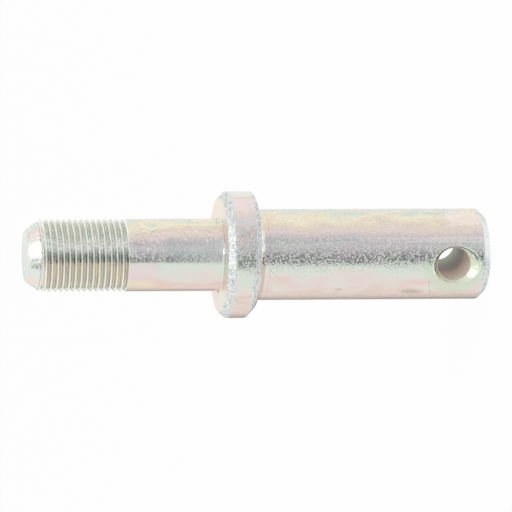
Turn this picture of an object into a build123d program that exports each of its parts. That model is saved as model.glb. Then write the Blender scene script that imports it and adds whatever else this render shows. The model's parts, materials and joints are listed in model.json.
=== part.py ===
from build123d import *
import math
import os

# A tiller pin, turned from one bar of steel and zinc plated. A threaded stud passes through the
# implement's plate and takes a nut, a collar bears on the plate, and the plain pin beyond it
# carries the lift arm's ball, which a linch pin through the cross hole keeps on.
# The pin stands on its plain end: the origin is the middle of that end face, the axis is +Z and
# the stud points up. The cross hole runs along Y.

# Driving dimensions, in millimetres

# Plain pin
pin_diameter = 28.0
pin_length = 72.6
pin_end_chamfer = 2.3
pin_end_round = 1.0
pin_root_fillet = 1.4

# Collar
collar_diameter = 39.0
collar_thickness = 10.4
collar_chamfer_depth = 2.0
collar_chamfer_width = 1.8
collar_rim_round = 0.3

# Stud
stud_diameter = 22.2
stud_length = 60.0
stud_end_taper_length = 4.7
stud_end_taper_width = 3.3
stud_end_round = 0.7
stud_root_fillet = 0.8

# Cross hole for the linch pin
hole_diameter = 10.4
hole_from_end = 11.5
hole_mouth_diameter = 14.4
hole_mouth_angle = 90.0

# Sizes that follow from them
pin_radius = pin_diameter / 2
collar_radius = collar_diameter / 2
stud_radius = stud_diameter / 2
shoulder_height = pin_length
seat_height = shoulder_height + collar_thickness
top_height = seat_height + stud_length
hole_height = hole_from_end

# How closely an edge or a face has to match the size or height it is picked by
match = 0.001


def circles_at(part, height, radius):
    """The round edges of this radius at this height."""
    rings = part.edges().filter_by(GeomType.CIRCLE)
    level = rings.filter_by(lambda ring: abs(ring.center().Z - height) < match)
    return level.filter_by(lambda ring: abs(ring.radius - radius) < match)


def face_at(part, height):
    """The flat face that lies across the axis at this height."""
    flats = part.faces().filter_by(Plane.XY)
    return flats.filter_by(lambda flat: abs(flat.center().Z - height) < match)[0]


with BuildPart() as tiller_pin:
    # The turned blank: plain pin, collar and stud as one half section about the axis
    with BuildSketch(Plane.XZ) as half_section:
        with BuildLine() as outline:
            Polyline(
                (0, 0),
                (pin_radius, 0),
                (pin_radius, shoulder_height),
                (collar_radius, shoulder_height),
                (collar_radius, seat_height),
                (stud_radius, seat_height),
                (stud_radius, top_height),
                (0, top_height),
                close=True,
            )
        make_face()
    revolve(axis=Axis.Z)

    # Small fillets where the pin and the stud leave the collar
    fillet(circles_at(tiller_pin, shoulder_height, pin_radius), pin_root_fillet)
    fillet(circles_at(tiller_pin, seat_height, stud_radius), stud_root_fillet)

    # The collar's two rims have a broad chamfer, a little longer along the rim than across the face
    for height in (shoulder_height, seat_height):
        chamfer(
            circles_at(tiller_pin, height, collar_radius),
            length=collar_chamfer_width,
            length2=collar_chamfer_depth,
            reference=face_at(tiller_pin, height),
        )
    rim_edges = [
        ring
        for height in (
            shoulder_height + collar_chamfer_depth,
            seat_height - collar_chamfer_depth,
        )
        for ring in circles_at(tiller_pin, height, collar_radius)
    ]
    fillet(rim_edges, collar_rim_round)

    # The plain end has a lead chamfer that rounds into the end face
    chamfer(circles_at(tiller_pin, 0, pin_radius), pin_end_chamfer)
    fillet(circles_at(tiller_pin, 0, pin_radius - pin_end_chamfer), pin_end_round)

    # The stud's end tapers to well below the thread's root, with its edge rounded over
    chamfer(
        circles_at(tiller_pin, top_height, stud_radius),
        length=stud_end_taper_width,
        length2=stud_end_taper_length,
        reference=face_at(tiller_pin, top_height),
    )
    fillet(
        circles_at(tiller_pin, top_height, stud_radius - stud_end_taper_width),
        stud_end_round,
    )

    # The cross hole, drilled through and countersunk from both sides
    near_side = Plane(origin=(0, -pin_radius, hole_height), x_dir=(1, 0, 0), z_dir=(0, -1, 0))
    far_side = Plane(origin=(0, pin_radius, hole_height), x_dir=(1, 0, 0), z_dir=(0, 1, 0))
    with Locations(near_side, far_side):
        CounterSinkHole(
            radius=hole_diameter / 2,
            counter_sink_radius=hole_mouth_diameter / 2,
            depth=pin_radius,
            counter_sink_angle=hole_mouth_angle,
        )

tiller_pin.part.label = "tiller_pin"
tiller_pin.part.color = Color(0.78, 0.79, 0.76)

os.makedirs("parts", exist_ok=True)
export_step(tiller_pin.part, "parts/tiller_pin.step")

mouth_depth = (hole_mouth_diameter - hole_diameter) / 2 / math.tan(math.radians(hole_mouth_angle / 2))
print("length", round(top_height, 3))
print("hole height", round(hole_height, 3))
print("hole wall between its countersinks", round(pin_diameter - 2 * mouth_depth, 3))
print("volume", round(tiller_pin.part.volume, 1))
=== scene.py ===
import json
import math
import random

import bmesh
import bpy
from mathutils import Matrix, Vector

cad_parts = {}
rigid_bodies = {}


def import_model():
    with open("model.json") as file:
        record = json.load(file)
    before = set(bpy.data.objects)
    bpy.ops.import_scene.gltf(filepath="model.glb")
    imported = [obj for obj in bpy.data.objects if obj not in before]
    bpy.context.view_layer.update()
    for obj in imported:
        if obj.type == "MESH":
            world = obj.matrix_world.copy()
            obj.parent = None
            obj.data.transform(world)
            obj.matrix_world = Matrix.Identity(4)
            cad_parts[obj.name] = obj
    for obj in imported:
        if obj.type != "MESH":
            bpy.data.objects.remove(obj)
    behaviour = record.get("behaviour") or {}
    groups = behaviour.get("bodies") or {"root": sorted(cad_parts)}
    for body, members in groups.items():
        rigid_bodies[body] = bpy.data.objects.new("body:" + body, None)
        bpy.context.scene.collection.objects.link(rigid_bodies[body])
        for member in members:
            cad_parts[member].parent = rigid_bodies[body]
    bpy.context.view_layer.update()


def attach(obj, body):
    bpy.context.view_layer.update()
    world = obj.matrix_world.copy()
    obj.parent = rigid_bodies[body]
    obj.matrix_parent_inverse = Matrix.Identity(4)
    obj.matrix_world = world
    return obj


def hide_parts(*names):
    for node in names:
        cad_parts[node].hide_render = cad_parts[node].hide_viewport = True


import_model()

MM = 0.001

# The pin's sizes in millimetres, as in the part's own source
PIN_RADIUS = 14.0
PIN_LENGTH = 72.6
PIN_END_CHAMFER = 2.3
PIN_END_ROUND = 1.0
PIN_ROOT_FILLET = 1.4
COLLAR_RADIUS = 19.5
COLLAR_THICKNESS = 10.4
COLLAR_CHAMFER_DEPTH = 2.0
COLLAR_CHAMFER_WIDTH = 1.8
COLLAR_RIM_ROUND = 0.3
STUD_RADIUS = 11.1
STUD_LENGTH = 60.0
STUD_END_TAPER_LENGTH = 4.7
STUD_END_TAPER_WIDTH = 3.3
STUD_END_ROUND = 0.7
STUD_ROOT_FILLET = 0.8
HOLE_RADIUS = 5.2
HOLE_MOUTH_RADIUS = 7.2
HOLE_MOUTH_ANGLE = 90.0
HOLE_HEIGHT = 11.5

# The thread: seven eighths of an inch, fourteen to the inch, right hand
THREAD_PITCH = 25.4 / 14
THREAD_LENGTH = 31.15
THREAD_DEPTH = 1.02
THREAD_HALF_ANGLE = 30.0
THREAD_CREST_FLAT = 0.36

# The hole's front mouth was cut a little low
FRONT_MOUTH_SHIFT = 0.5

# The collar's lower chamfer was cut off centre: inner edge aside, outer edge tilted and low
CHAMFER_SHIFT = 1.0
CHAMFER_TILT = math.radians(2.5)
CHAMFER_DROP = 0.3

# Heights and radii that follow from the sizes
SHOULDER_HEIGHT = PIN_LENGTH
SHOULDER_RIM = SHOULDER_HEIGHT + COLLAR_CHAMFER_DEPTH
SEAT_HEIGHT = SHOULDER_HEIGHT + COLLAR_THICKNESS
SEAT_RIM = SEAT_HEIGHT - COLLAR_CHAMFER_DEPTH
TOP_HEIGHT = SEAT_HEIGHT + STUD_LENGTH
THREAD_START = TOP_HEIGHT - THREAD_LENGTH
TAPER_START = TOP_HEIGHT - STUD_END_TAPER_LENGTH
END_FACE_RADIUS = PIN_RADIUS - PIN_END_CHAMFER
COLLAR_FACE_RADIUS = COLLAR_RADIUS - COLLAR_CHAMFER_WIDTH

# How closely a point lies to the ring that it is picked by
RING_MATCH = 0.005

# The side of the pin that the photograph faces, as an angle from -Y towards +X. The photograph
# shows the pin lying, with the way across the view up, and high and low are meant that way below.
FACING = math.radians(15.6)
TOWARDS_VIEWER = Vector((math.sin(FACING), -math.cos(FACING), 0))
ACROSS_VIEW = Vector((math.cos(FACING), math.sin(FACING), 0))


def add_camera():
    """A long lens looks a little down on the standing pin, rolled so that the stud points left."""
    lens = 309.4
    distance = 1.354
    elevation = math.radians(10.3)
    roll = math.radians(-0.25)
    aim_height = 71.35
    aim_below_axis = 0.47
    back = TOWARDS_VIEWER * math.cos(elevation) + Vector((0, 0, math.sin(elevation)))
    up = ACROSS_VIEW
    right = up.cross(back)
    aim = Vector((0, 0, aim_height * MM)) - up * (aim_below_axis * MM)
    turned = Matrix((right, up, back)).transposed().to_4x4()
    data = bpy.data.cameras.new("camera")
    data.lens = lens
    camera = bpy.data.objects.new("camera", data)
    bpy.context.scene.collection.objects.link(camera)
    place = Matrix.Translation(aim + back * distance)
    camera.matrix_world = place @ turned @ Matrix.Rotation(roll, 4, "Z")
    bpy.context.scene.camera = camera


class Socket:
    """A shader socket on which sums are written as on a number."""

    def __init__(self, shader, socket):
        self.shader = shader
        self.socket = socket

    def sum(self, operation, first, second=0.0):
        return self.shader.node("Math", {"operation": operation}, {0: first, 1: second})

    def __add__(self, other):
        return self.sum("ADD", self, other)

    def __radd__(self, other):
        return self.sum("ADD", other, self)

    def __sub__(self, other):
        return self.sum("SUBTRACT", self, other)

    def __rsub__(self, other):
        return self.sum("SUBTRACT", other, self)

    def __mul__(self, other):
        return self.sum("MULTIPLY", self, other)

    def __rmul__(self, other):
        return self.sum("MULTIPLY", other, self)

    def __truediv__(self, other):
        return self.sum("DIVIDE", self, other)

    def __rtruediv__(self, other):
        return self.sum("DIVIDE", other, self)

    def __pow__(self, other):
        return self.sum("POWER", self, other)

    def __lt__(self, other):
        return self.sum("LESS_THAN", self, other)

    def __gt__(self, other):
        return self.sum("GREATER_THAN", self, other)

    def __abs__(self):
        return self.sum("ABSOLUTE", self)

    def larger(self, other):
        return self.sum("MAXIMUM", self, other)


class Shader:
    """The nodes of one material or of the world."""

    def __init__(self, owner):
        owner.use_nodes = True
        self.tree = owner.node_tree
        self.tree.nodes.clear()

    def node(self, kind, settings=None, inputs=None, output=0):
        """Adds a node: its settings first, then the values and links of its sockets."""
        node = self.tree.nodes.new("ShaderNode" + kind)
        for name, value in (settings or {}).items():
            if name == "stops":
                self.set_stops(node.color_ramp, value)
            else:
                setattr(node, name, value)
        for name, value in (inputs or {}).items():
            if isinstance(value, Socket):
                self.tree.links.new(value.socket, node.inputs[name])
            else:
                node.inputs[name].default_value = value
        return Socket(self, node.outputs[output]) if node.outputs else node

    def set_stops(self, ramp, stops):
        """Gives a colour ramp its stops, each a place and a colour."""
        while len(ramp.elements) < len(stops):
            ramp.elements.new(1.0)
        for element, (place, tone) in zip(ramp.elements, stops):
            element.position = place
            element.color = (*tone, 1.0)

    def mix(self, first, second, amount):
        """A colour between two colours, each a socket or three linear values."""
        first, second = [
            tone if isinstance(tone, Socket) else (*tone, 1.0) for tone in (first, second)
        ]
        colours = {0: amount, 6: first, 7: second}
        return self.node("Mix", {"data_type": "RGBA"}, colours, output=2)

    def rising(self, value, low, high):
        """0 below low and 1 above high, eased between them."""
        ends = {"Value": value, "From Min": low, "From Max": high}
        return self.node("MapRange", {"interpolation_type": "SMOOTHSTEP"}, ends)

    def falling(self, value, low, high):
        """1 below low and 0 above high, eased between them."""
        return 1.0 - self.rising(value, low, high)

    def between(self, value, low, high, soft):
        """1 between low and high, else 0, with soft edges."""
        start = self.rising(value, low - soft, low + soft)
        return start * self.falling(value, high - soft, high + soft)

    def curve(self, value, points):
        """A grey or a colour that follows a value through the given points."""
        low, high = points[0][0], points[-1][0]
        stops = [
            ((at - low) / (high - low), tone if isinstance(tone, tuple) else (tone,) * 3)
            for at, tone in points
        ]
        return self.node("ValToRGB", {"stops": stops}, {"Fac": (value - low) / (high - low)})

    def place(self):
        """The place on the pin in millimetres, as a vector and as its three parts."""
        metres = self.node("TexCoord", None, None, output=3)
        vector = self.node("VectorMath", {"operation": "SCALE"}, {0: metres, "Scale": 1 / MM})
        parts = [self.node("SeparateXYZ", None, {0: vector}, output=axis) for axis in range(3)]
        return vector, parts

    def noise(self, vector, size, detail=2.0, roughness=0.5, distortion=0.0):
        """Cloudy noise about 0, at most half up or down, with blotches of this size."""
        settings = {"Vector": vector, "Scale": 1 / size, "Detail": detail}
        settings.update({"Roughness": roughness, "Distortion": distortion})
        return self.node("TexNoise", None, settings) - 0.5

    def stretched(self, vector, across, along):
        """The place drawn out, so that noise read there runs across or along the pin."""
        share = (1 / across, 1 / across, 1 / along)
        return self.node("VectorMath", {"operation": "MULTIPLY"}, {0: vector, 1: share})

    def angle_about_axis(self):
        """The angle about the pin's axis in degrees, 0 on the side that the photograph faces."""
        place = self.node("TexCoord", None, None, output=3)
        across, towards = [
            self.node("VectorMath", {"operation": "DOT_PRODUCT"}, {0: place, 1: way}, output=1)
            for way in (ACROSS_VIEW, TOWARDS_VIEWER)
        ]
        return across.sum("ARCTAN2", across, towards) * (180 / math.pi)

    def seen_directly(self):
        """1 for rays that reach the camera straight, off metal or through glass, else 0."""
        nodes = self.node("LightPath").socket.node.outputs
        direct, glossy, through = [
            Socket(self, nodes[f"Is {ray} Ray"]) for ray in ("Camera", "Glossy", "Transmission")
        ]
        return self.node("Clamp", None, {"Value": direct + glossy + through})


def colour(red, green, blue):
    """A linear colour from the three values that a screen shows, 0 to 255."""
    def linear(value):
        share = value / 255
        return share / 12.92 if share <= 0.04045 else ((share + 0.055) / 1.055) ** 2.4

    return (linear(red), linear(green), linear(blue))


def light_room():
    """A pale world, a soft lamp overhead and a pale floor that keeps the pin's shadow."""
    fill_strength = 0.75
    lamp_width = 0.5
    lamp_depth = 0.42
    lamp_distance = 0.9
    lamp_radiance = 2.6
    lamp_direction = TOWARDS_VIEWER * 0.42 + ACROSS_VIEW * 0.2 + Vector((0, 0, 0.86))
    floor_size = 8.0
    floor_grey = 0.95
    floor_glow = 0.95
    white = (1, 1, 1, 1)

    world = bpy.data.worlds.new("studio")
    bpy.context.scene.world = world
    shader = Shader(world)
    seen = shader.seen_directly()
    strength = seen + (1.0 - seen) * fill_strength
    background = shader.node("Background", None, {"Color": white, "Strength": strength})
    shader.node("OutputWorld", None, {"Surface": background})

    lamp = bpy.data.lights.new("overhead softbox", "AREA")
    lamp.shape = "ELLIPSE"
    lamp.size = lamp_width
    lamp.size_y = lamp_depth
    lamp.energy = lamp_radiance * math.pi * math.pi * lamp_width * lamp_depth / 4
    holder = bpy.data.objects.new("overhead softbox", lamp)
    bpy.context.scene.collection.objects.link(holder)
    holder.location = Vector((0, 0, TOP_HEIGHT * MM)) + lamp_direction.normalized() * lamp_distance
    holder.rotation_euler = lamp_direction.to_track_quat("Z", "Y").to_euler()

    bpy.ops.mesh.primitive_plane_add(size=floor_size)
    floor = bpy.context.active_object
    floor.name = "floor"
    material = bpy.data.materials.new("pale floor")
    shader = Shader(material)
    seen = shader.seen_directly()
    lit = shader.node("BsdfDiffuse", None, {"Color": (floor_grey, floor_grey, floor_grey, 1)})
    glow = shader.node("Emission", None, {"Color": white, "Strength": 1.0})
    surface = shader.node("MixShader", None, {0: seen * floor_glow, 1: lit, 2: glow})
    shader.node("OutputMaterial", None, {"Surface": surface})
    floor.data.materials.append(material)
    floor.visible_glossy = False


def add_card(name, start, end, low, high, stops):
    """A grey card that only reflections see: a tall arc far round the pin, shaded by angle."""
    distance = 1.2
    steps = 24
    bottom = distance * math.tan(math.radians(low))
    top = distance * math.tan(math.radians(high))
    turn = math.radians(start)
    way = TOWARDS_VIEWER * math.cos(turn) + ACROSS_VIEW * math.sin(turn)
    bpy.ops.mesh.primitive_plane_add(size=MM)
    card = bpy.context.active_object
    card.name = name
    bpy.ops.object.mode_set(mode="EDIT")
    bpy.ops.mesh.merge(type="CENTER")
    bpy.ops.transform.translate(value=way * distance + Vector((0, 0, bottom)))
    bpy.ops.mesh.extrude_region_move(TRANSFORM_OT_translate={"value": (0, 0, top - bottom)})
    bpy.ops.mesh.select_all(action="SELECT")
    sweep = math.radians(end - start)
    bpy.ops.mesh.spin(steps=steps, angle=sweep, center=(0, 0, 0), axis=(0, 0, -1))
    bpy.ops.object.mode_set(mode="OBJECT")
    material = bpy.data.materials.new(name)
    shader = Shader(material)
    share = (shader.angle_about_axis() - start) / (end - start)
    greys = [(place, (tone,) * 3) for place, tone in stops]
    grey = shader.node("ValToRGB", {"stops": greys}, {"Fac": share})
    glow = shader.node("Emission", None, {"Color": grey, "Strength": 1.0})
    shader.node("OutputMaterial", None, {"Surface": glow})
    card.data.materials.append(material)
    for ray in ("camera", "diffuse", "transmission", "volume_scatter", "shadow"):
        setattr(card, "visible_" + ray, False)


def add_cards():
    """The grey cards whose reflections give the metal its dark bands."""
    front = [
        (0.0, 0.25), (0.148, 0.28), (0.235, 0.38), (0.322, 0.58),
        (0.493, 0.84), (0.67, 0.62), (0.864, 0.93), (1.0, 1.0),
    ]
    back = [(0.0, 0.3), (0.5, 0.55), (1.0, 1.0)]
    dark = [(0.0, 0.03), (1.0, 0.03)]
    add_card("front card", start=-24.5, end=66, low=-28, high=0, stops=front)
    add_card("thread card", start=-28, end=2, low=-54, high=-28, stops=dark)
    add_card("back card", start=-180, end=-128, low=-40, high=10, stops=back)


def round_corners(corners, steps):
    """Points of an outline of (radius, height, rounding), each rounded corner as an arc."""
    outline = []
    for index, (radius, height, rounding) in enumerate(corners):
        here = Vector((radius, height))
        if rounding == 0:
            outline.append(here)
            continue
        before = (Vector(corners[index - 1][:2]) - here).normalized()
        after = (Vector(corners[index + 1][:2]) - here).normalized()
        half = before.angle(after) / 2
        centre = here + (before + after).normalized() * (rounding / math.sin(half))
        first = here + before * (rounding / math.tan(half)) - centre
        turn = (math.pi - 2 * half) * (1 if before.cross(after) < 0 else -1)
        for step in range(steps + 1):
            angle = turn * step / steps
            c, s = math.cos(angle), math.sin(angle)
            outline.append(centre + Vector((first.x * c - first.y * s, first.x * s + first.y * c)))
    return outline


def fill_slopes(outline):
    """The outline with more points on its long sloping stretches, the chamfers."""
    spacing = 0.32
    filled = [outline[0]]
    for before, after in zip(outline, outline[1:]):
        step = after - before
        sloping = abs(step.x) > spacing and abs(step.y) > spacing
        pieces = round(step.length / spacing) if sloping else 1
        filled += [before + step * (piece / pieces) for piece in range(1, pieces + 1)]
    return filled


def turn_solid(name, outline, sides):
    """A turned solid about Z, raised from its bottom disc ring by ring up the outline."""
    here = outline[0]
    foot = (0, 0, here.y * MM)
    bpy.ops.mesh.primitive_circle_add(
        vertices=sides, radius=here.x * MM, fill_type="NGON", location=foot
    )
    piece = bpy.context.active_object
    piece.name = name
    bpy.ops.object.transform_apply(location=True, rotation=True, scale=True)
    bpy.ops.object.mode_set(mode="EDIT")
    bpy.ops.mesh.select_all(action="SELECT")
    for there in outline[1:]:
        rise = (0, 0, (there.y - here.y) * MM)
        bpy.ops.mesh.extrude_region_move(TRANSFORM_OT_translate={"value": rise})
        share = there.x / here.x
        bpy.ops.transform.resize(value=(share, share, 1), center_override=(0, 0, there.y * MM))
        here = there
    bpy.ops.mesh.select_all(action="SELECT")
    bpy.ops.mesh.normals_make_consistent(inside=False)
    bpy.ops.object.mode_set(mode="OBJECT")
    return piece


def pick(piece, test):
    """Selects, in edit mode, the points whose radius and height in millimetres pass the test."""
    mesh = bmesh.from_edit_mesh(piece.data)
    for point in mesh.verts:
        point.select = test(point.co.xy.length / MM, point.co.z / MM)
    mesh.select_flush_mode()


def push_chamfer_aside(piece, outline):
    """Moves the collar's lower chamfer off centre: wide on one side, narrow on the other."""
    below_shoulder = 0.01
    above_rim = 0.5
    inside_face = 0.3
    low = SHOULDER_HEIGHT - below_shoulder
    high = SHOULDER_RIM + above_rim
    inner = COLLAR_FACE_RADIUS - inside_face
    rings = [ring for ring in outline if low < ring.y < high and ring.x > inner]
    bpy.ops.object.mode_set(mode="EDIT")
    bpy.ops.mesh.select_mode(type="VERT")
    for ring in reversed(rings):
        share = min((ring.y - SHOULDER_HEIGHT) / COLLAR_CHAMFER_DEPTH, 1)
        tilt = CHAMFER_TILT * share
        about_x = tilt * math.sin(FACING)
        about_y = -tilt * math.cos(FACING)
        centre = (0, 0, ring.y * MM)
        aside = ACROSS_VIEW * (CHAMFER_SHIFT * (1 - share)) - Vector((0, 0, CHAMFER_DROP * share))

        def on_ring(radius, height):
            return math.hypot(radius - ring.x, height - ring.y) < RING_MATCH

        pick(piece, on_ring)
        bpy.ops.transform.rotate(value=about_x, orient_axis="X", center_override=centre)
        bpy.ops.transform.rotate(value=about_y, orient_axis="Y", center_override=centre)
        bpy.ops.transform.translate(value=aside * MM)
    bpy.ops.object.mode_set(mode="OBJECT")


def roughen(piece, name, test, size, depth, level):
    """Gives the picked part of a piece an uneven surface, with lumps of this size and depth."""
    bpy.ops.object.mode_set(mode="EDIT")
    bpy.ops.mesh.select_mode(type="VERT")
    pick(piece, test)
    bpy.ops.object.vertex_group_assign_new()
    bpy.ops.object.mode_set(mode="OBJECT")
    group = piece.vertex_groups[-1]
    group.name = name
    lumps = bpy.data.textures.new(name, "CLOUDS")
    lumps.noise_scale = size * MM
    lumps.noise_depth = 2
    rough = piece.modifiers.new(name, "DISPLACE")
    rough.texture = lumps
    rough.strength = depth * MM
    rough.mid_level = level
    rough.vertex_group = group.name
    bpy.ops.object.modifier_apply(modifier=rough.name)


def roughen_chamfers(pin):
    """Batters the collar's two chamfers and the lead chamfer."""
    def on_seat_chamfer(radius, height):
        return radius > COLLAR_FACE_RADIUS - 0.2 and height > SEAT_RIM

    def on_shoulder_chamfer(radius, height):
        level = SHOULDER_HEIGHT + 0.06 < height < SHOULDER_HEIGHT + 2.6
        return level and COLLAR_FACE_RADIUS - 1 < radius < COLLAR_RADIUS - 0.05

    def on_lead_chamfer(radius, height):
        return radius > 12 and 0.1 < height < PIN_END_CHAMFER + 0.1

    roughen(pin, "seat chamfer", on_seat_chamfer, size=0.9, depth=0.34, level=0.62)
    roughen(pin, "shoulder chamfer", on_shoulder_chamfer, size=0.9, depth=0.34, level=0.62)
    roughen(pin, "lead chamfer", on_lead_chamfer, size=0.8, depth=0.2, level=0.6)


def keep_inside(piece):
    """Moves the points that stand out past the collar's rim back to it."""
    rim = COLLAR_RADIUS * MM
    for point in piece.data.vertices:
        reach = point.co.xy.length
        if reach > rim:
            point.co.xy *= rim / reach


def pin_outline():
    """The half outline of the pin, from the foot up to the end of the stud."""
    middle_radius = 4.0
    edge_round = 0.35
    ring_gap = 0.5
    corners = [
        (middle_radius, 0, 0),
        (END_FACE_RADIUS, 0, PIN_END_ROUND),
        (PIN_RADIUS, PIN_END_CHAMFER, edge_round),
        (PIN_RADIUS, SHOULDER_HEIGHT, PIN_ROOT_FILLET),
        (COLLAR_FACE_RADIUS, SHOULDER_HEIGHT, edge_round),
        (COLLAR_RADIUS, SHOULDER_RIM, COLLAR_RIM_ROUND),
        (COLLAR_RADIUS, SEAT_RIM, COLLAR_RIM_ROUND),
        (COLLAR_FACE_RADIUS, SEAT_HEIGHT, edge_round),
        (COLLAR_FACE_RADIUS - ring_gap, SEAT_HEIGHT, 0),
        (COLLAR_FACE_RADIUS - 2 * ring_gap, SEAT_HEIGHT, 0),
        (STUD_RADIUS, SEAT_HEIGHT, STUD_ROOT_FILLET),
        (STUD_RADIUS, TAPER_START, 0),
        (STUD_RADIUS - STUD_END_TAPER_WIDTH, TOP_HEIGHT, STUD_END_ROUND),
        (middle_radius, TOP_HEIGHT, 0),
    ]
    return fill_slopes(round_corners(corners, steps=6))


def hole_cutter():
    """The cross hole's drill and countersinks as one long waisted shape along Y."""
    overrun = 1.5
    edge_round = 0.4
    sides = 128
    slope = math.tan(math.radians(HOLE_MOUTH_ANGLE / 2))
    reach = PIN_RADIUS + overrun
    wide = HOLE_MOUTH_RADIUS + overrun * slope
    waist = PIN_RADIUS - (HOLE_MOUTH_RADIUS - HOLE_RADIUS) / slope
    corners = [
        (wide, -reach, 0),
        (HOLE_RADIUS, -waist, edge_round),
        (HOLE_RADIUS, waist, edge_round),
        (wide, reach, 0),
    ]

    def on_mouths(radius, height):
        return radius > HOLE_RADIUS + 0.8

    outline = fill_slopes(round_corners(corners, steps=5))
    cutter = turn_solid("hole cutter", outline, sides)
    bpy.ops.object.mode_set(mode="EDIT")
    bpy.ops.mesh.select_mode(type="VERT")
    for ring in outline:
        share = (-ring.y - waist) / (PIN_RADIUS - waist)
        if share > 0:
            pick(cutter, lambda radius, height: abs(height - ring.y) < RING_MATCH)
            bpy.ops.transform.translate(value=(0, FRONT_MOUTH_SHIFT * share * MM, 0))
    bpy.ops.object.mode_set(mode="OBJECT")
    roughen(cutter, "uneven mouths", on_mouths, size=1.6, depth=0.5, level=0.5)
    bpy.ops.object.mode_set(mode="EDIT")
    bpy.ops.mesh.select_all(action="SELECT")
    bpy.ops.transform.rotate(value=math.pi / 2, orient_axis="X", center_override=(0, 0, 0))
    bpy.ops.transform.translate(value=(0, 0, HOLE_HEIGHT * MM))
    bpy.ops.object.mode_set(mode="OBJECT")
    return cutter


def draw_outline(name, points):
    """A closed wire in the XZ plane, drawn point by point from one corner of a plane."""
    bpy.ops.mesh.primitive_plane_add(size=MM)
    wire = bpy.context.active_object
    wire.name = name
    bpy.ops.object.mode_set(mode="EDIT")
    bpy.ops.mesh.select_all(action="SELECT")
    bpy.ops.mesh.merge(type="CENTER")
    bpy.ops.transform.translate(value=(points[0].x * MM, 0, points[0].y * MM))
    for before, after in zip(points, points[1:]):
        step = after - before
        move = (step.x * MM, 0, step.y * MM)
        bpy.ops.mesh.extrude_region_move(TRANSFORM_OT_translate={"value": move})
    bpy.ops.object.mode_set(mode="OBJECT")
    wire.data.vertices[0].select = True
    bpy.ops.object.mode_set(mode="EDIT")
    bpy.ops.mesh.edge_face_add()
    bpy.ops.object.mode_set(mode="OBJECT")
    return wire


def thread_cutter():
    """One long helical groove, from beyond the stud's end to where it fades out by the collar."""
    steps_per_turn = 96
    root_round = 0.23
    crest_round = 0.07
    crest_drop = 0.02
    lip_width = 0.03
    clear_of_stud = 0.16
    clear_of_root = 0.1
    fade_turns = 0.8
    fade_power = 1.5
    slope = math.tan(math.radians(THREAD_HALF_ANGLE))
    crest = STUD_RADIUS
    root = STUD_RADIUS - THREAD_DEPTH
    mouth = (THREAD_PITCH - THREAD_CREST_FLAT) / 2
    floor = mouth - THREAD_DEPTH * slope
    lip = mouth + lip_width
    corners = [
        (crest + clear_of_stud, -lip, 0),
        (crest - crest_drop, -lip, crest_round),
        (root, -floor, root_round),
        (root, floor, root_round),
        (crest - crest_drop, lip, crest_round),
        (crest + clear_of_stud, lip, 0),
    ]
    section = round_corners(corners, steps=3)
    start = Vector((0, THREAD_START))
    cutter = draw_outline("thread cutter", [point + start for point in section])
    screw = cutter.modifiers.new("turns", "SCREW")
    screw.angle = 2 * math.pi
    screw.screw_offset = THREAD_PITCH * MM
    screw.iterations = math.ceil(THREAD_LENGTH / THREAD_PITCH) + 1
    screw.steps = steps_per_turn
    screw.render_steps = steps_per_turn
    bpy.ops.object.modifier_apply(modifier=screw.name)
    fade_steps = int(fade_turns * steps_per_turn)
    lift = (THREAD_DEPTH + clear_of_root) * MM
    for index, point in enumerate(cutter.data.vertices):
        step = index // len(section)
        if step < fade_steps:
            away = Vector((point.co.x, point.co.y, 0)).normalized()
            share = 1 - step / fade_steps
            point.co += away * lift * share ** fade_power
    bpy.ops.object.mode_set(mode="EDIT")
    bpy.ops.mesh.select_mode(type="VERT")
    bpy.ops.mesh.select_all(action="DESELECT")
    bpy.ops.mesh.select_non_manifold()
    bpy.ops.mesh.fill_holes(sides=0)
    bpy.ops.mesh.select_all(action="SELECT")
    bpy.ops.mesh.normals_make_consistent(inside=False)
    bpy.ops.object.mode_set(mode="OBJECT")
    return cutter


def nick_cutter():
    """Small blunt lumps, joined into one shape, that bite the battered edges of the collar."""
    seed = 7
    nick_count = 22
    least_share = 0.15
    smallest, largest = 0.2, 0.4
    widest_nick = (-66, 17.5, SHOULDER_HEIGHT, 0.55, 0)
    nicks = [widest_nick]
    random.seed(seed)
    for count in range(nick_count):
        share = random.uniform(least_share, 1.0)
        radius = COLLAR_RADIUS - COLLAR_CHAMFER_WIDTH * share
        inset = COLLAR_CHAMFER_DEPTH * (1 - share)
        angle = random.uniform(-180, 180)
        size = random.uniform(smallest, largest)
        if count % 2:
            tilt = COLLAR_RADIUS * math.sin(CHAMFER_TILT) * math.sin(math.radians(angle))
            height = SHOULDER_HEIGHT + inset - (tilt + CHAMFER_DROP) * (1 - share)
            nicks.append((angle, radius, height, size, CHAMFER_SHIFT * share))
        else:
            nicks.append((angle, radius, SEAT_HEIGHT - inset, size, 0))
    bpy.ops.object.select_all(action="DESELECT")
    for angle, radius, height, size, aside in nicks:
        turn = math.radians(angle)
        towards = math.cos(turn) * radius
        across = math.sin(turn) * radius + aside
        place = TOWARDS_VIEWER * towards + ACROSS_VIEW * across
        place.z = height
        bpy.ops.mesh.primitive_ico_sphere_add(
            subdivisions=2, radius=size * MM, location=place * MM
        )
        bpy.ops.object.transform_apply(location=True, rotation=True, scale=True)
        bpy.context.active_object.name = "nick"
    cutter = bpy.context.active_object
    for lump in bpy.data.objects:
        if lump.name.startswith("nick"):
            lump.select_set(True)
    bpy.ops.object.join()
    return cutter


def cut_away(piece, cutter):
    """Takes the cutter's shape out of the piece."""
    bpy.ops.object.select_all(action="DESELECT")
    bpy.context.view_layer.objects.active = piece
    piece.select_set(True)
    cut = piece.modifiers.new("cut", "BOOLEAN")
    cut.operation = "DIFFERENCE"
    cut.solver = "MANIFOLD"
    cut.object = cutter
    bpy.ops.object.modifier_apply(modifier=cut.name)
    bpy.data.objects.remove(cutter)


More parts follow.
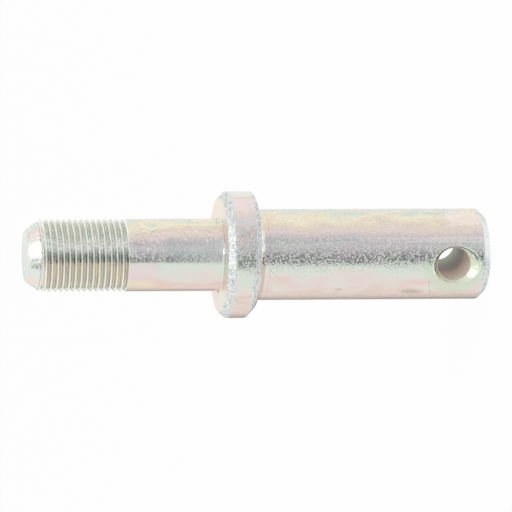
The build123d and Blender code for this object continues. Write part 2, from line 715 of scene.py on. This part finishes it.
def plated_pin():
    """The whole pin as one turned, drilled and threaded piece."""
    sides = 256
    same_point = 0.001
    sharp_angle = math.radians(32)
    outline = pin_outline()
    pin = turn_solid("plated_pin", outline, sides)
    push_chamfer_aside(pin, outline)
    roughen_chamfers(pin)
    keep_inside(pin)
    cut_away(pin, nick_cutter())
    cut_away(pin, hole_cutter())
    cut_away(pin, thread_cutter())
    bpy.ops.object.mode_set(mode="EDIT")
    bpy.ops.mesh.select_all(action="SELECT")
    bpy.ops.mesh.remove_doubles(threshold=same_point * MM)
    bpy.ops.mesh.normals_make_consistent(inside=False)
    bpy.ops.object.mode_set(mode="OBJECT")
    bpy.ops.object.shade_smooth_by_angle(angle=sharp_angle)
    return pin


class Reading:
    """Where a point of the surface lies on the pin, in millimetres and degrees, with its noise."""

    def __init__(self, shader):
        self.vector, (self.x, self.y, self.height) = shader.place()
        self.angle = shader.angle_about_axis()
        self.front = shader.falling(self.angle, 110.0, 160.0)
        self.radius = (self.x * self.x + self.y * self.y) ** 0.5
        self.above_hole = self.height - HOLE_HEIGHT
        self.from_hole = (self.x * self.x + self.above_hole * self.above_hole) ** 0.5
        self.fine = shader.noise(self.vector, 0.45, detail=3.0, roughness=0.6)
        self.coarse = shader.noise(self.vector, 1.3, detail=3.0, roughness=0.6)
        self.ragged = self.coarse * 1.3 + self.fine * 0.5
        self.uneven = self.coarse * 0.5 + self.fine * 0.5


class Zones:
    """Masks, 0 to 1, of the parts of the pin that the plating tells apart."""

    def __init__(self, shader, at):
        rising, falling = shader.rising, shader.falling
        ragged = at.ragged

        # The collar with its chamfers, the lead chamfer and the flat faces
        by_face = rising(at.radius, COLLAR_FACE_RADIUS - 0.15, COLLAR_FACE_RADIUS + 0.05)
        self.on_collar = rising(at.height, SHOULDER_HEIGHT - 0.1, SHOULDER_HEIGHT) * by_face
        upper = rising(at.height + ragged, SEAT_RIM - 0.9, SEAT_RIM + 0.1)
        tilted = at.height + at.angle.sum("SINE", at.angle * (math.pi / 180)) * 0.9
        lower = falling(tilted + ragged, SHOULDER_RIM - 0.4, SHOULDER_RIM + 0.5)
        face = falling(at.radius + ragged * 0.3, END_FACE_RADIUS - 0.8, END_FACE_RADIUS - 0.3)
        self.end_face = (at.height < 0.05) * face
        foot = falling(at.height + ragged, PIN_END_CHAMFER - 0.4, PIN_END_CHAMFER + 0.8)
        self.lead_chamfer = foot * (1.0 - self.end_face)
        self.chamfers = (self.on_collar * (upper + lower)).larger(self.lead_chamfer)
        level = rising(at.height, SEAT_HEIGHT - 0.2, SEAT_HEIGHT - 0.05)
        outside_stud = rising(at.radius, STUD_RADIUS + 0.8, STUD_RADIUS + 1.0)
        self.seat = level * outside_stud * (1.0 - self.chamfers)

        # The stud's taper, thread and the thread's valleys
        self.on_stud = rising(at.height, SHOULDER_HEIGHT, SEAT_HEIGHT)
        self.taper = rising(at.height + ragged * 0.3, TAPER_START - 0.1, TAPER_START + 0.3)
        self.end_round = rising(at.height + ragged * 0.2, TOP_HEIGHT - 1.2, TOP_HEIGHT - 0.7)
        self.thread = rising(at.height, THREAD_START + 0.2, THREAD_START + 0.7) * (1.0 - self.taper)
        deep = falling(at.radius + ragged * 0.12, STUD_RADIUS - 0.34, STUD_RADIUS - 0.1)
        self.valley = self.thread * deep
        facing = shader.between(at.angle + ragged * 10.0, -26.0, -5.0, 3.0)
        rubbed = rising(at.fine + at.coarse, -0.12, 0.04)
        self.scuffs = facing * rubbed * (1.0 - self.end_round)

        # The fillet at the pin's root, the hole's mouths and bore, and the skin round the hole
        fillet_foot = SHOULDER_HEIGHT - PIN_ROOT_FILLET - 0.3
        by_root = shader.between(at.height + ragged * 0.1, fillet_foot, SHOULDER_HEIGHT + 0.5, 0.15)
        self.root = by_root * (at.radius < 16.0)
        below_skin = falling(at.radius, PIN_RADIUS - 0.12, PIN_RADIUS - 0.02)
        past_bore = rising(at.from_hole, HOLE_RADIUS + 0.1, HOLE_RADIUS + 0.4)
        in_mouth = falling(at.from_hole, HOLE_MOUTH_RADIUS + 0.6, HOLE_MOUTH_RADIUS + 0.8)
        self.mouth = below_skin * past_bore * in_mouth * (at.height > 3.5)
        self.bore = falling(at.from_hole, HOLE_RADIUS + 0.1, HOLE_RADIUS + 0.35)
        off_mouth = at.from_hole + ragged * 2.0 - HOLE_MOUTH_RADIUS
        upper_side = rising(at.angle, -14.0, -4.0) * at.front
        around = falling(off_mouth, 0.5, 4.0) * (1.0 - upper_side * 0.8)
        self.near_hole = around * (at.height < 30.0)

        # The raised burr round each mouth, whose edge lies where the countersink meets the skin;
        # its pale colour is a painted highlight on the rim
        above_mouth = at.above_hole + (at.y < 0.0) * FRONT_MOUTH_SHIFT
        from_mouth = (at.x * at.x + above_mouth * above_mouth) ** 0.5
        past_edge = from_mouth - abs(at.y) + (PIN_RADIUS - HOLE_MOUTH_RADIUS)
        edge = shader.between(past_edge + at.uneven, 0.02, 0.42, 0.08)
        self.burr_and_highlight = edge * (at.radius > PIN_RADIUS - 0.15) * (at.height < 30.0)


def film_thickness(shader, at, on_collar):
    """How thick the coloured film is: each whole number is one run through its colours."""
    round_the_pin = [
        (-180, 0.9), (-150, 1.2), (-120, 1.55), (-90, 1.8), (-68, 1.8), (-58, 1.7),
        (-47, 1.54), (-30, 1.36), (-24, 1.18), (-19, 1.04), (-14, 0.95), (-8, 0.87),
        (0, 0.81), (14, 0.82), (24, 0.66), (31, 0.5), (42, 0.36), (54, 0.22),
        (65, 0.1), (80, 0.0), (110, 0.2), (140, 0.5), (180, 0.9),
    ]
    round_the_collar = [
        (-180, 0.9), (-120, 1.6), (-90, 1.85), (-66, 1.8), (-58, 1.5), (-44, 1.52),
        (-34, 1.3), (-19, 1.08), (0, 0.85), (24, 0.7), (38, 0.62), (58, 0.58),
        (64, 0.45), (70, 0.1), (110, 0.2), (180, 0.9),
    ]
    unevenness = [
        (-180, 0.5), (-62, 0.9), (-50, 1.5), (-28, 1.3),
        (-14, 0.4), (35, 0.5), (50, 0.9), (180, 0.5),
    ]
    spread = 2.0
    pin, collar = [
        shader.curve(at.angle, [(degrees, level / spread) for degrees, level in levels])
        for levels in (round_the_pin, round_the_collar)
    ]
    thickness = shader.mix(pin, collar, on_collar) * spread
    swing = shader.curve(at.angle, unevenness)
    drift = shader.noise(shader.stretched(at.vector, 1.0, 2.2), 4.6, detail=1.0)
    cloud = shader.noise(shader.stretched(at.vector, 1.0, 1.8), 1.4, detail=3.0, roughness=0.6)
    return thickness + drift * swing + cloud * 0.14


def film_colour(shader, thickness):
    """The film's colour on bright zinc, run through twice and paler as the film thickens."""
    bare = colour(224, 226, 220)
    green = colour(215, 224, 212)
    straw = colour(240, 231, 206)
    peach = colour(226, 214, 200)
    pink = colour(227, 213, 210)
    lavender = colour(212, 210, 212)
    neutral = colour(224, 220, 212)
    rose = colour(227, 214, 208)
    copper = colour(225, 204, 192)
    order = [
        (-0.3, bare), (0.0, green), (0.2, straw), (0.4, peach), (0.6, pink), (0.8, lavender),
        (1.0, green), (1.25, neutral), (1.5, rose), (1.75, copper), (2.0, rose),
    ]
    return shader.curve(thickness, order)


def film_patches(shader, at, zones, tint):
    """The film's colour with the patches that stand apart on the pin, the collar and the stud, and
    a grey painted reflection of the dark band on the stud's front by the seat.
    """
    blotches = shader.noise(shader.stretched(at.vector, 1.0, 2.0), 3.2, detail=2.0)
    on_top = shader.rising(at.angle, 36.0, 42.0) * shader.falling(at.angle, 56.0, 62.0)
    yellow = shader.rising(blotches, 0.06, 0.2) * on_top * (at.height < SHOULDER_HEIGHT)
    pale_end = shader.between(at.angle + at.ragged * 6.0, 38.0, 68.0, 5.0)
    pale_end = pale_end * shader.falling(at.height + at.ragged * 3.0, 11.0, 15.0)
    pink_collar = shader.between(at.angle + at.ragged * 6.0, 43.0, 62.0, 4.0) * zones.on_collar
    white_collar = shader.between(at.angle, 66.0, 110.0, 3.0) * zones.on_collar
    by_seat = shader.between(at.height + at.ragged * 2.0, SEAT_HEIGHT, SEAT_HEIGHT + 18.0, 2.0)
    # A grey painted reflection: the dark band that the cards give, laid on the stud's front by the
    # seat
    stud_painted_dark_band = shader.between(at.angle + at.ragged * 6.0, -13.0, 30.0, 4.0) * by_seat
    stud_painted_dark_band = stud_painted_dark_band * (at.radius < STUD_RADIUS + 0.5)
    by_thread = shader.between(
        at.height + at.ragged * 1.5, THREAD_START - 8.0, THREAD_START + 1.0, 1.2
    )
    pink_stud = shader.between(at.angle + at.ragged * 8.0, -46.0, -14.0, 3.0) * by_thread
    straw_stud = shader.between(at.angle + at.ragged * 8.0, -60.0, -46.0, 4.0) * by_thread
    patches = [
        (colour(240, 234, 190), yellow * 0.5),
        (colour(246, 234, 226), pale_end * 0.7),
        (colour(244, 228, 228), pink_collar * 0.6),
        (colour(240, 240, 234), white_collar * 0.6),
        (colour(188, 194, 195), stud_painted_dark_band * 0.5),
        (colour(228, 213, 213), pink_stud * 0.7),
        (colour(238, 226, 194), straw_stud * 0.5),
    ]
    for patch, amount in patches:
        tint = shader.mix(tint, patch, amount)
    return tint


def battered_zinc(shader, at, lead_chamfer):
    """The chamfers' blue and white zinc with dark pits, and a near-white painted highlight on the
    lead chamfer's front.
    """
    blue = colour(188, 198, 202)
    white = colour(234, 237, 233)
    dark_pit = colour(110, 120, 126)
    painted_highlight_white = colour(254, 254, 254)
    lumps = at.fine + at.coarse * 0.6
    zinc = shader.mix(blue, white, shader.rising(lumps, -0.14, 0.06))
    zinc = shader.mix(dark_pit, zinc, shader.rising(lumps, -0.24, -0.15))
    # A painted highlight on the front of the lead chamfer
    painted_highlight_edge = lead_chamfer * shader.between(at.angle + at.ragged * 8.0, -6.0, 46.0, 5.0)
    return shader.mix(zinc, painted_highlight_white, painted_highlight_edge * (0.7 + at.fine))


def thread_zinc(shader, at, valley):
    """The thread's pale crests and its darker valleys, with painted highlight on the crests,
    painted shade in the valleys and painted reflections in the valley colours round the stud.
    """
    green = colour(208, 217, 207)
    dark_green = colour(190, 195, 189)
    pink = colour(226, 218, 211)
    dark_pink = colour(200, 198, 194)
    crest = colour(246, 248, 237)
    low_tones = [
        (-0.2, colour(206, 208, 194)), (-0.07, colour(214, 210, 194)),
        (0.04, colour(208, 200, 194)), (0.2, colour(220, 214, 194)),
    ]
    # Painted reflections by angle: darker on the low side and darkest just below the front, near
    # white just above it
    green_tones = [
        (-180, green), (-140, dark_green), (-18, dark_green), (-2, colour(184, 189, 184)),
        (6, colour(206, 212, 207)), (12, colour(224, 230, 226)), (20, colour(224, 230, 226)),
        (36, green), (90, green),
    ]
    pink_tones = [
        (-180, pink), (-140, dark_pink), (-18, dark_pink), (-2, colour(190, 190, 187)),
        (6, colour(218, 216, 213)), (12, colour(248, 248, 246)), (20, colour(246, 244, 242)),
        (36, pink), (90, pink),
    ]
    turns = shader.noise(shader.stretched(at.vector, 6.0, 1.0), 2.2, detail=1.0)
    speckle = shader.noise(at.vector, 0.8, detail=2.0)
    low = shader.rising(at.angle, -178.0, -150.0) * shader.falling(at.angle, -14.0, -6.0)
    around = at.angle + at.fine * 24.0 + turns * 26.0
    green_zinc_and_reflection = shader.curve(around, green_tones)
    pink_zinc_and_reflection = shader.curve(around, pink_tones)
    high = shader.mix(green_zinc_and_reflection, pink_zinc_and_reflection, shader.rising(speckle, -0.06, 0.1))
    # Near-white crests over darker valleys: partly a painted highlight on the crests and painted
    # shade in the valleys
    return shader.mix(crest, shader.mix(high, shader.curve(turns, low_tones), low), valley)


def taper_zinc(shader, at, zones):
    """The stud's dull taper, grey green and pale pink by turns, scuffed on its low side."""
    green = colour(226, 231, 224)
    pink = colour(240, 223, 216)
    tones = [
        (-180, green), (-72, green), (-62, pink), (-52, pink), (-40, green), (26, green),
        (36, pink), (48, pink), (60, green), (120, green), (138, pink), (156, green), (180, green),
    ]
    zinc = shader.curve(at.angle + at.ragged * 20.0, tones)
    zinc = shader.mix(zinc, colour(146, 150, 148), zones.scuffs * 0.85)
    return shader.mix(zinc, colour(226, 229, 224), zones.end_round)


def hole_zinc(shader, at, zones, base):
    """The base colour with the countersinks' green zinc and a painted dark reflection line just
    inside one side of their rim, and the bore with painted shade: darkest midway, near white at the
    front mouth.
    """
    bore_painted_shade = [
        (-12, colour(255, 252, 238)), (-8, colour(252, 244, 228)), (-4, colour(240, 216, 200)),
        (-1, colour(176, 158, 148)), (2, colour(152, 140, 132)), (5, colour(156, 150, 134)),
        (8, colour(170, 174, 154)), (12, colour(184, 188, 168)),
    ]
    depth = PIN_RADIUS - at.radius + at.uneven * 0.6
    # A painted dark reflection line just inside the mouths' rim, on one side
    painted_dark_reflection = shader.between(depth, 0.14, 0.46, 0.06) * zones.mouth
    painted_dark_reflection = painted_dark_reflection * shader.rising(at.x + at.above_hole * 0.26, -0.6, 0.4)
    mouth = shader.mix(colour(220, 227, 206), colour(70, 72, 66), painted_dark_reflection)
    # Painted shade down the bore, darkest midway and painted light near white at the front mouth
    bore = shader.curve(at.y + at.coarse * 4.0, bore_painted_shade)
    return shader.mix(shader.mix(base, mouth, zones.mouth), bore, zones.bore)


def root_zinc_and_highlight(shader, at):
    """The fillet at the pin's root, with a painted reflection of the collar: a near-white painted
    highlight just above the front, tan low down.
    """
    dull = colour(206, 188, 174)
    tones = [
        (-180, dull), (-12, colour(206, 186, 172)), (-2, colour(232, 224, 216)),
        (4, colour(250, 248, 244)), (24, colour(250, 246, 242)), (36, colour(234, 218, 210)),
        (70, colour(230, 218, 214)), (180, dull),
    ]
    return shader.curve(at.angle + at.ragged * 8.0, tones)


def wear_marks(shader, at, base):
    """Two smudges, a broken scratch, a tool ring by the shoulder and specks on the plain pin."""
    smudges = [(24.4, -56.0, 3.6, 6.0, 0.65), (47.3, -50.4, 1.3, 2.4, 0.5)]
    scratch_height, scratch_angle, scratch_lean = 19.7, -31.0, 0.048
    ring_height = 69.4
    for height, angle, length, width, strength in smudges:
        along = (at.height - height) / length + at.ragged * 0.7
        around = (at.angle - angle) / width + at.ragged * 0.9
        smudge = shader.falling((along * along + around * around) ** 0.5, 0.3, 1.4)
        base = shader.mix(base, colour(188, 160, 142), smudge * strength)
    dots = shader.noise(at.vector, 0.7, detail=1.0)
    lean = (at.angle - scratch_angle) * scratch_lean
    off_scratch = abs(at.height - scratch_height - lean + at.ragged * 1.1)
    scratch = shader.falling(off_scratch, 0.08, 0.22) * shader.rising(dots, -0.02, 0.08)
    scratch = scratch * shader.between(at.angle, -62.0, -32.0, 2.0)
    base = shader.mix(base, colour(120, 114, 100), scratch * 0.5)
    off_ring = abs(at.height - ring_height + at.ragged * 0.06)
    ring = shader.falling(off_ring, 0.06, 0.16) * shader.rising(dots, -0.1, 0.06)
    base = shader.mix(base, colour(150, 142, 132), ring * 0.25)
    specks = shader.rising(shader.noise(at.vector, 0.55, detail=1.0), 0.3, 0.35)
    return shader.mix(base, colour(130, 126, 116), specks * (at.height < SEAT_HEIGHT) * 0.4)


def plate_colour(shader, at, zones):
    """The plating's colour all over the pin, laid on part by part, with painted highlights, shade
    and reflections on some parts.
    """
    cream = colour(240, 231, 217)
    tint = film_colour(shader, film_thickness(shader, at, zones.on_collar))
    base = film_patches(shader, at, zones, tint)
    base = shader.mix(base, colour(204, 220, 196), zones.near_hole * 0.65)
    base = shader.mix(base, taper_zinc(shader, at, zones), zones.taper)
    base = shader.mix(base, thread_zinc(shader, at, zones.valley), zones.thread)
    # A painted highlight band on the taper just past its start, then a thin painted shade line,
    # standing in for the thread's first part-cut ridge and groove
    step = at.height + at.fine * 0.2 - TAPER_START
    base = shader.mix(base, colour(244, 246, 242), shader.between(step, 0.1, 0.8, 0.08))
    base = shader.mix(base, colour(176, 164, 160), shader.between(step, 0.85, 1.08, 0.06) * 0.7)
    base = shader.mix(base, cream, zones.seat + zones.end_face)
    # The root fillet's tan with its painted highlight in front
    base = shader.mix(base, root_zinc_and_highlight(shader, at), zones.root * 0.9)
    # A pale painted highlight on the burr round each mouth
    base = shader.mix(base, colour(238, 242, 230), zones.burr_and_highlight * 0.8)
    base = wear_marks(shader, at, base)
    base = shader.mix(base, battered_zinc(shader, at, zones.lead_chamfer), zones.chamfers)
    return hole_zinc(shader, at, zones, base)


def plate_roughness(zones):
    """Bright on the turned faces, duller on chamfers, flat faces, crests, taper and in the hole."""
    roughness = 0.15 + zones.chamfers * 0.33 + (zones.seat + zones.end_face) * 0.2
    roughness = roughness + zones.bore * 0.3 + zones.mouth * 0.15
    roughness = roughness + zones.taper * (0.08 + zones.scuffs * 0.2)
    return roughness - zones.valley * 0.06 + (zones.thread - zones.valley) * 0.25


def plate_relief(shader, at, zones):
    """The surface's small relief in millimetres: grain, flecks, strokes, pits and the burr."""
    wave = shader.noise(at.vector, 2.5)
    grain = shader.noise(at.vector, 0.5, detail=1.0, roughness=0.4)
    patchy = shader.rising(shader.noise(at.vector, 7.0, detail=1.0), -0.15, 0.05)
    flecks = shader.noise(at.vector, 0.6, detail=1.0, distortion=0.5)
    flecks = shader.rising(flecks, -0.01, 0.26) * (0.85 + patchy * 0.15)
    flecks = flecks * (0.35 + shader.rising(at.angle, -18.0, -12.5) * at.front * 0.65)
    swirl = shader.noise(at.vector, 3.4, detail=1.0, distortion=2.0)
    strokes = shader.falling(abs(swirl), 0.0, 0.04)
    strokes = strokes * shader.rising(at.angle, -10.0, -4.0) * at.front
    flat = (at.height > TOP_HEIGHT - 0.1) + (at.height < 0.1) + zones.seat
    polished = grain * (0.05 - zones.on_stud * 0.042) + wave * (0.08 - zones.on_stud * 0.045)
    marks = flecks * (0.115 - zones.on_stud * 0.105) + strokes * zones.on_stud * 0.08
    polished = polished + marks * (1.0 - flat)
    pitted = at.fine * 0.1 + at.coarse * 0.15
    rough = zones.chamfers.larger(zones.taper * 0.6)
    relief = polished + rough * pitted + zones.thread * grain * 0.06 + zones.burr_and_highlight * 0.08
    return relief * (1.0 - zones.bore * 0.8)


def zinc_plate():
    """Zinc plate: bright and coloured on turned faces, dull and pitted on chamfers and thread."""
    material = bpy.data.materials.new("zinc plate")
    shader = Shader(material)
    at = Reading(shader)
    zones = Zones(shader, at)
    relief = plate_relief(shader, at, zones)
    finish = {
        "Base Color": plate_colour(shader, at, zones),
        "Metallic": 1.0 - zones.bore * 0.7,
        "Roughness": plate_roughness(zones),
        "Normal": shader.node("Bump", None, {"Strength": 1.0, "Distance": MM, "Height": relief}),
    }
    surface = shader.node("BsdfPrincipled", None, finish)
    shader.node("OutputMaterial", None, {"Surface": surface})
    return material


bpy.context.scene.view_settings.view_transform = "Standard"
bpy.ops.object.select_all(action="DESELECT")
add_camera()
light_room()
add_cards()
pin = plated_pin()
pin.data.materials.clear()
pin.data.materials.append(zinc_plate())
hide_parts("tiller_pin")
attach(pin, "root")
